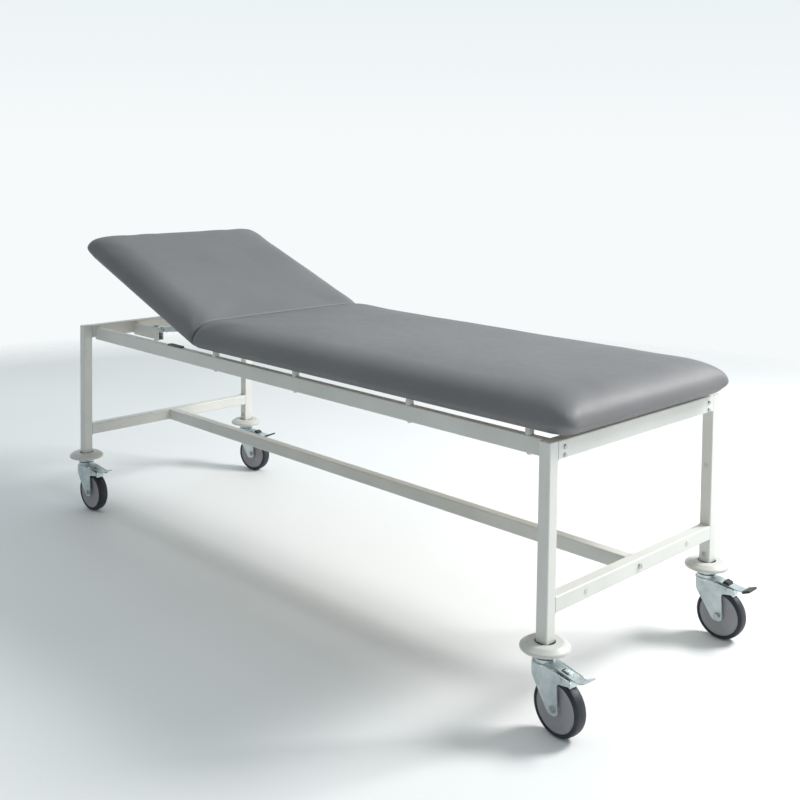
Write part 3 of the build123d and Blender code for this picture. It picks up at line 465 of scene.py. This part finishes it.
def swell(pad):
    """Inflate the cover a little with the hem held, as stuffed foam does, and keep the result."""
    before = [vert.co.copy() for vert in pad.data.vertices]
    cloth = pad.modifiers.new("cover", "CLOTH")
    cloth.settings.quality = 6
    cloth.settings.mass = 0.4
    cloth.settings.tension_stiffness = 20
    cloth.settings.compression_stiffness = 20
    cloth.settings.shear_stiffness = 8
    cloth.settings.bending_stiffness = 6
    cloth.settings.use_pressure = True
    cloth.settings.uniform_pressure_force = 4.0
    cloth.settings.vertex_group_mass = "held"
    cloth.settings.effector_weights.gravity = 0
    cloth.collision_settings.use_collision = False
    cloth.point_cache.frame_start = 1
    cloth.point_cache.frame_end = COVER_STEPS
    for step in range(1, COVER_STEPS + 1):
        scene.frame_set(step)
    shaped = pad.evaluated_get(bpy.context.evaluated_depsgraph_get()).to_mesh()
    after = [vert.co.copy() for vert in shaped.vertices]
    pad.modifiers.remove(cloth)
    scene.frame_set(1)
    for vert, start, end in zip(pad.data.vertices, before, after):
        move = end - start
        vert.co = start + move * (BULGE / (BULGE + move.length))


def settle(pad, length):
    """Keep the pad off its neighbour and inside its space, with the slight waves of hand-fitted cover."""
    for vert in pad.data.vertices:
        wave = noise.noise(vert.co * 7.0) * 0.0009 + noise.noise(vert.co * 19.0) * 0.0003
        if vert.co.z > 0.004:
            vert.co.z += wave
            vert.co.y += wave * (1 if vert.co.y > 0 else -1)
        fold_face = FOLD_GAP + (vert.co.z + board_drop) * tan(rest_rise / 2)
        vert.co.x = min(max(vert.co.x, fold_face), length + 0.006)


def pad_place(way):
    """Matrix from a pad's own frame to the trolley: way is 1 for the main pad and -1 for the head pad."""
    rise = 0.0 if way > 0 else rest_rise
    out = Vector((way * cos(rise), 0, sin(rise)))
    up = Vector((-way * sin(rise), 0, cos(rise)))
    start = hinge + up * board_drop
    return Matrix(((out.x, 0, up.x, start.x), (0, 1, 0, start.y), (out.z, 0, up.z, start.z), (0, 0, 0, 1)))


def put(piece, matrix):
    """Bring a finished piece to its place in the trolley, faces outwards."""
    piece.data.transform(matrix)
    if matrix.determinant() < 0:
        piece.data.flip_normals()
    piece.data.update()


def smooth(piece, levels):
    """Subdivide a piece for good and shade it smooth."""
    if levels:
        subdivision = piece.modifiers.new("round", "SUBSURF")
        subdivision.levels = subdivision.render_levels = levels
        made = plain_mesh(piece)
        piece.modifiers.remove(subdivision)
        old = piece.data
        piece.data = made
        bpy.data.meshes.remove(old)
    piece.vertex_groups.clear()
    piece.data.shade_smooth()


def plain_mesh(piece):
    """The evaluated object as a mesh of its own."""
    graph = bpy.context.evaluated_depsgraph_get()
    return bpy.data.meshes.new_from_object(piece.evaluated_get(graph))


def make_pad(name, node, way, length):
    """Upholstered pad in place of its plain solid, with its end slanted at the fold."""
    pad = pad_block(name, length)
    swell(pad)
    settle(pad, length)
    smooth(pad, 1)
    put(pad, pad_place(way))
    pad.data.materials.clear()
    pad.data.materials.append(FINISHES["vinyl"])
    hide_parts(node)
    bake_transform(pad)


# ------------------------------------------------------------------ repeated details
WELD_PITCH, WELD_BEAD = 0.0024, (0.0026, 0.0017, 0.0017)
STAPLE_PITCH, STAPLE = 0.042, (0.0105, 0.0014, 0.0009)
STAPLE_INSET = 0.020  # pad's underside edge to the row of staples
STAPLE_START, STAPLE_CORNER = 0.03, 0.02  # fold to the first staple, and the cut across each corner
WELD_INSET = 0.002  # weld's end to the edge of the tube
RECESS_DEPTH = 0.0035  # top of a bumper disc to the floor of its recess
RING_LINE = 0.00035  # half the width of a moulded ring
HUB_FACE = 0.0130  # wheel's middle to the hub's flat face
HUB_RINGS = (0.0165, 0.0205, 0.0245, 0.0285, 0.0325, 0.0365, 0.0405)
TYRE_FACE, TYRE_RING = 0.0155, 0.0548
PLATE_SLOPE = radians(9.3)
PLATE_FRONT = 0.028  # plate's front edge, its highest place, to the pedal's pin


class Growth:
    """Geometry node tree that grows a repeated detail along the lines of a mesh."""

    def __init__(self, name, sizes):
        self.tree = bpy.data.node_groups.new(name, "GeometryNodeTree")
        self.tree.interface.new_socket("Lines", in_out="INPUT", socket_type="NodeSocketGeometry")
        self.sockets = {}
        for label, value in sizes.items():
            kind = "NodeSocketVector" if isinstance(value, tuple) else "NodeSocketFloat"
            self.sockets[label] = self.tree.interface.new_socket(label, in_out="INPUT", socket_type=kind)
        self.tree.interface.new_socket("Detail", in_out="OUTPUT", socket_type="NodeSocketGeometry")
        self.start = self.tree.nodes.new("NodeGroupInput")
        self.end = self.tree.nodes.new("NodeGroupOutput")
        self.sizes = sizes
        self.lines = self.add("GeometryNodeMeshToCurve")
        self.join(self.start, "Lines", self.lines, "Mesh")

    def add(self, kind, **settings):
        node = self.tree.nodes.new(kind)
        for name, value in settings.items():
            setattr(node, name, value)
        return node

    def join(self, source, output, target, socket):
        self.tree.links.new(source.outputs[output], target.inputs[socket])

    def close(self, source, output, material):
        """Realize the instances, set the material and end the tree."""
        real = self.add("GeometryNodeRealizeInstances")
        dressed = self.add("GeometryNodeSetMaterial")
        dressed.inputs["Material"].default_value = material
        self.join(source, output, real, "Geometry")
        self.join(real, "Geometry", dressed, "Geometry")
        self.join(dressed, "Geometry", self.end, "Detail")

    def grow(self, name, lines, body, slot):
        """Grow the detail on some lines as a plain mesh that rides on a body."""
        data = bpy.data.meshes.new(name)
        points, edges = [], []
        for line, closed in lines:
            first = len(points)
            points += line
            edges += [(first + i, first + i + 1) for i in range(len(line) - 1)]
            if closed:
                edges.append((first + len(line) - 1, first))
        data.from_pydata(points, edges, [])
        piece = bpy.data.objects.new(name, data)
        scene.collection.objects.link(piece)
        modifier = piece.modifiers.new("growth", "NODES")
        modifier.node_group = self.tree
        for label, value in self.sizes.items():
            modifier[self.sockets[label].identifier] = value
        made = plain_mesh(piece)
        piece.modifiers.remove(modifier)
        piece.data = made
        bpy.data.meshes.remove(data)
        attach(piece, body)
        return piece


def row_growth(name, pitch, size, shape, material):
    """Growth of one small solid at each pitch along the lines."""
    growth = Growth(name, {"Pitch": pitch, "Size": size})
    places = growth.add("GeometryNodeCurveToPoints", mode="LENGTH")
    growth.join(growth.lines, "Curve", places, "Curve")
    growth.join(growth.start, "Pitch", places, "Length")
    if shape == "bead":
        solid = growth.add("GeometryNodeMeshIcoSphere")
        solid.inputs["Radius"].default_value = 1.0
        solid.inputs["Subdivisions"].default_value = 1
        placed = growth.add("GeometryNodeSetShadeSmooth")
        growth.join(solid, "Mesh", placed, "Geometry")
        source, output = placed, "Geometry"
    else:
        solid = growth.add("GeometryNodeMeshCube")
        source, output = solid, "Mesh"
    turn = growth.add("FunctionNodeAlignRotationToVector", axis="X")
    growth.join(places, "Tangent", turn, "Vector")
    copies = growth.add("GeometryNodeInstanceOnPoints")
    growth.join(places, "Points", copies, "Points")
    growth.join(source, output, copies, "Instance")
    growth.join(turn, "Rotation", copies, "Rotation")
    growth.join(growth.start, "Size", copies, "Scale")
    growth.close(copies, "Instances", material)
    return growth


def line_growth(name, width, material):
    """Growth of a thin round moulding along the lines."""
    growth = Growth(name, {"Half Width": width})
    profile = growth.add("GeometryNodeCurvePrimitiveCircle", mode="RADIUS")
    profile.inputs["Resolution"].default_value = 6
    growth.join(growth.start, "Half Width", profile, "Radius")
    swept = growth.add("GeometryNodeCurveToMesh")
    growth.join(growth.lines, "Curve", swept, "Curve")
    growth.join(profile, "Curve", swept, "Profile Curve")
    soft = growth.add("GeometryNodeSetShadeSmooth")
    growth.join(swept, "Mesh", soft, "Geometry")
    growth.close(soft, "Geometry", material)
    return growth


def add_welds():
    """Painted weld beads where the rails and stretchers meet the legs, and between the stretchers."""
    growth = row_growth("weld_beads", WELD_PITCH, WELD_BEAD, "bead", FINISHES["painted_tube"])
    lines = []
    for end in ("head", "foot"):
        for side, way in (("near", 1), ("far", -1)):
            leg_low, leg_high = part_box(f"leg_{end}_{side}")
            face = leg_high.y if way > 0 else leg_low.y
            rail_low, rail_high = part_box(f"{end}_rail")
            bar_low, bar_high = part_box(f"{end}_stretcher")
            for low, high, level in ((rail_low, rail_high, rail_low.z), (bar_low, bar_high, bar_low.z),
                                     (bar_low, bar_high, bar_high.z)):
                lines.append(([(low.x + WELD_INSET, face, level), (high.x - WELD_INSET, face, level)], False))
    long_low, long_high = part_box("long_stretcher")
    for x in (long_low.x, long_high.x):
        for y in (long_low.y, long_high.y):
            lines.append(([(x, y, long_low.z + WELD_INSET), (x, y, long_high.z - WELD_INSET)], False))
    growth.grow("frame_welds", lines, "root", "painted_tube")


def add_staples():
    """Rows of staples that hold the hems under the boards."""
    growth = row_growth("hem_staples", STAPLE_PITCH, STAPLE, "block", FINISHES["steel"])
    for name, way, length, body in (("main_staples", 1, main_length, "root"),
                                    ("head_staples", -1, head_length, "head_section")):
        side = pad_half_width - TUCK - STAPLE_INSET
        end = length - TUCK - STAPLE_INSET
        level = -COVER - STAPLE[2] / 4
        row = [(STAPLE_START, -side, level), (end - STAPLE_CORNER, -side, level),
               (end, -side + STAPLE_CORNER, level), (end, side - STAPLE_CORNER, level),
               (end - STAPLE_CORNER, side, level), (STAPLE_START, side, level)]
        place = pad_place(way)
        growth.grow(name, [([tuple(place @ Vector(point)) for point in row], False)], body, "steel")


def round_line(centre, axle, radius, offset, count=72):
    """Closed circle round a wheel's axle, at an offset along it."""
    across = Vector((0, 0, 1)).cross(axle)
    middle = centre + axle * offset
    return [tuple(middle + across * (radius * cos(2 * pi * i / count)) +
                  Vector((0, 0, radius * sin(2 * pi * i / count)))) for i in range(count)]


def add_wheel_rings():
    """Turned rings on the hubs and the moulded line round each side of the tyres."""
    hub_growth = line_growth("hub_rings", RING_LINE, FINISHES["hub_plastic"])
    tyre_growth = line_growth("tyre_rings", 1.6 * RING_LINE, FINISHES["tyre"])
    for corner in CORNERS:
        joint = joints[f"{corner}_wheel_roll"]
        centre, axle = Vector(joint["pos_m"]), Vector(joint["axis"])
        hub_lines = [(round_line(centre, axle, radius, side * HUB_FACE), True)
                     for radius in HUB_RINGS for side in (-1, 1)]
        tyre_lines = [(round_line(centre, axle, TYRE_RING, side * TYRE_FACE), True) for side in (-1, 1)]
        hub_growth.grow(f"{corner}_hub_rings", hub_lines, f"{corner}_wheel", "hub_plastic")
        tyre_growth.grow(f"{corner}_tyre_rings", tyre_lines, f"{corner}_wheel", "tyre")


# ------------------------------------------------------------------ pressed and moulded details
def block(bm, low, high):
    """Add a box between two corners."""
    verts = [bm.verts.new((x, y, z)) for x in (low[0], high[0]) for y in (low[1], high[1])
             for z in (low[2], high[2])]
    for face in ((0, 1, 3, 2), (4, 6, 7, 5), (0, 4, 5, 1), (2, 3, 7, 6), (0, 2, 6, 4), (1, 5, 7, 3)):
        bm.faces.new([verts[i] for i in face])


def small_piece(name, bm, place, body, slot, bevel=0.0005):
    """Finish a small piece: softened edges, its place, its material and its body."""
    bmesh.ops.recalc_face_normals(bm, faces=bm.faces)
    data = bpy.data.meshes.new(name)
    bm.to_mesh(data)
    bm.free()
    piece = bpy.data.objects.new(name, data)
    scene.collection.objects.link(piece)
    if bevel:
        edges = piece.modifiers.new("edges", "BEVEL")
        edges.width = bevel
        edges.segments = 3
        made = plain_mesh(piece)
        piece.modifiers.remove(edges)
        piece.data = made
        bpy.data.meshes.remove(data)
    piece.data.shade_smooth()
    piece.data.transform(place)
    piece.data.materials.append(FINISHES[slot])
    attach(piece, body)
    return piece


def plate_place(corner):
    """Matrix of a pedal's plate, over its pin: X along the plate away from the stem, Z up from its top."""
    stem = Vector(joints[f"{corner}_swivel"]["pos_m"])
    pin = Vector(joints[f"{corner}_brake_press"]["pos_m"])
    out = Vector((pin.x - stem.x, pin.y - stem.y, 0)).normalized()
    across = Vector((0, 0, 1)).cross(out)
    along = out * cos(PLATE_SLOPE) - Vector((0, 0, sin(PLATE_SLOPE)))
    up = along.cross(across)
    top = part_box(f"{corner}_brake_pedal")[1].z - PLATE_FRONT * tan(PLATE_SLOPE)
    origin = Vector((pin.x, pin.y, top))
    return Matrix(((along.x, across.x, up.x, origin.x), (along.y, across.y, up.y, origin.y),
                   (along.z, across.z, up.z, origin.z), (0, 0, 0, 1)))


def add_pedal_pressings():
    """Raised catch with its ribs on the near pedals, and a thin black inlay beside it as painted shade for the
    slot.
    """
    for corner in CORNERS:
        place = plate_place(corner)
        body = f"{corner}_brake"
        if corner.endswith("near"):
            catch = bmesh.new()
            block(catch, (-0.006, -0.006, -0.001), (0.011, 0.006, 0.0022))
            for i in range(3):
                x = -0.003 + 0.0048 * i
                block(catch, (x, -0.005, 0.0018), (x + 0.0016, 0.005, 0.0034))
            small_piece(f"{corner}_pedal_catch", catch, place, body, "zinc")
            # painted shade: a black inlay where the open slot would look dark
            slot = bmesh.new()
            block(slot, (-0.009, -0.009, -0.0004), (0.008, -0.0066, 0.00025))
            block(slot, (-0.0105, -0.006, -0.0004), (-0.0072, 0.006, 0.00025))
            small_piece(f"{corner}_pedal_slot_shade", slot, place, body, "black_plastic", 0.0002)


def add_recess_shade_rings():
    """Black ring in the recess of each bumper disc, round the stem and under the end of the leg, as painted shade
    for the dark gap there.
    """
    for corner in CORNERS:
        stem = Vector(joints[f"{corner}_swivel"]["pos_m"])
        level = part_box(f"{corner}_bumper_disc")[1].z - RECESS_DEPTH
        # painted shade: a black ring where the gap round the leg's end looks dark
        shade_ring = bmesh.new()
        rings = [(0.0118, level + 0.0002), (0.0118, level + 0.0012), (0.0215, level + 0.0012),
                 (0.0222, level + 0.0006), (0.0222, level + 0.0002)]
        loops = [[shade_ring.verts.new((stem.x + r * cos(2 * pi * i / 48), stem.y + r * sin(2 * pi * i / 48), z))
                  for i in range(48)] for r, z in rings]
        for k in range(len(loops)):
            inner, outer = loops[k], loops[(k + 1) % len(loops)]
            for i in range(48):
                j = (i + 1) % 48
                shade_ring.faces.new((inner[i], inner[j], outer[j], outer[i]))
        small_piece(f"{corner}_recess_shade_ring", shade_ring, Matrix(), f"{corner}_bumper", "black_plastic", 0)


make_studio()
make_camera()
make_floor()
finish_frame()
make_pad("main_cushion", "main_pad", 1, main_length)
make_pad("head_cushion", "head_pad", -1, head_length)
add_welds()
add_staples()
add_wheel_rings()
add_pedal_pressings()
add_recess_shade_rings()
